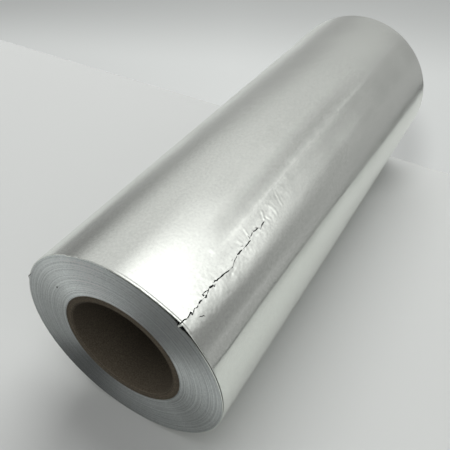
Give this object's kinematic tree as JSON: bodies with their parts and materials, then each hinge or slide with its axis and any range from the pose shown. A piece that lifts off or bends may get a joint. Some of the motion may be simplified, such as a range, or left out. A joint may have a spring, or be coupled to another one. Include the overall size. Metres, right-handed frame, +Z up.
{
  "type": "aluminium foil roll",
  "caption": "Wide roll of heavy aluminium foil wound on a paper core, standing on its end, with the free edge of its outer turn torn and lifted at the upper end.",
  "frame": {"origin": "on the roll's axis, at the foot that it stands on", "axes": "+Z up along the roll's axis towards the end with the torn edge; -Y faces what was the roll's upper side where the picture shows it lying down"},
  "size_m": [0.1477, 0.148, 0.4],
  "materials": {
    "foil": "satin rolled foil",
    "core_paper": "matt wound paper"
  },
  "bodies": {
    "root": {"foil_winding": "foil", "paper_core": "core_paper"}
  },
  "joints": []
}
